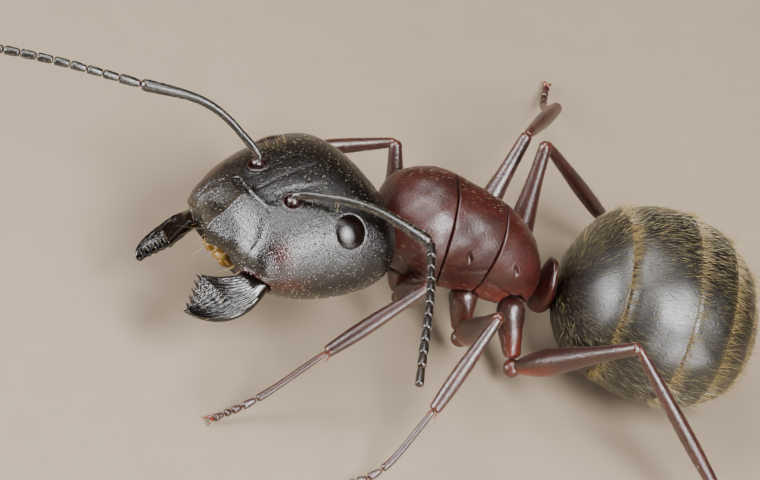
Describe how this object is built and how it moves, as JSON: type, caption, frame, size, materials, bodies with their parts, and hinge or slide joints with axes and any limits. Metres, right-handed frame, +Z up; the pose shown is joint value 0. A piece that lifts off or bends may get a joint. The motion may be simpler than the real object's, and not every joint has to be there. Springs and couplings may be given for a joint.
{
  "type": "carpenter ant",
  "caption": "Life-size still model of a large worker carpenter ant standing with its jaws open and feelers spread.",
  "frame": {"origin": "on the floor under the middle of the ant's bounding box, feelers and feet included", "axes": "+X the way the trunk faces, +Y its left side, +Z up"},
  "size_m": [0.0198, 0.0142, 0.0048],
  "materials": {
    "head_armour": "black chitin with a fine dull grain, a silvery sheen and pitted dots",
    "eye": "dark brown compound eye, finely faceted, satin",
    "mandible": "glossy black brown chitin with coarse grooves",
    "mouthparts": "amber, soft and translucent looking",
    "antenna": "black to red brown with a coat of very fine pale hairs",
    "trunk_armour": "dark red chitin with a pinkish satin sheen",
    "leg": "dark red brown satin chitin, orange red at the thigh bases",
    "gaster_armour": "black chitin with golden hairs lying flat and golden fringes on the rings"
  },
  "bodies": {
    "root": {"eye_left": "eye", "eye_right": "eye", "funiculus_left": "antenna", "funiculus_right": "antenna", "gaster_ring_1": "gaster_armour", "gaster_ring_2": "gaster_armour", "gaster_ring_3": "gaster_armour", "gaster_ring_4": "gaster_armour", "gaster_ring_5": "gaster_armour", "head": "head_armour", "leg_front_left_coxa": "leg", "leg_front_left_femur": "leg", "leg_front_left_tarsus": "leg", "leg_front_left_tibia": "leg", "leg_front_right_coxa": "leg", "leg_front_right_femur": "leg", "leg_front_right_tarsus": "leg", "leg_front_right_tibia": "leg", "leg_hind_left_coxa": "leg", "leg_hind_left_femur": "leg", "leg_hind_left_tarsus": "leg", "leg_hind_left_tibia": "leg", "leg_hind_right_coxa": "leg", "leg_hind_right_femur": "leg", "leg_hind_right_tarsus": "leg", "leg_hind_right_tibia": "leg", "leg_middle_left_coxa": "leg", "leg_middle_left_femur": "leg", "leg_middle_left_tarsus": "leg", "leg_middle_left_tibia": "leg", "leg_middle_right_coxa": "leg", "leg_middle_right_femur": "leg", "leg_middle_right_tarsus": "leg", "leg_middle_right_tibia": "leg", "mandible_left": "mandible", "mandible_right": "mandible", "mesothorax": "trunk_armour", "mouthparts": "mouthparts", "petiole": "trunk_armour", "pronotum": "trunk_armour", "propodeum": "trunk_armour", "scape_left": "antenna", "scape_right": "antenna"}
  },
  "joints": []
}
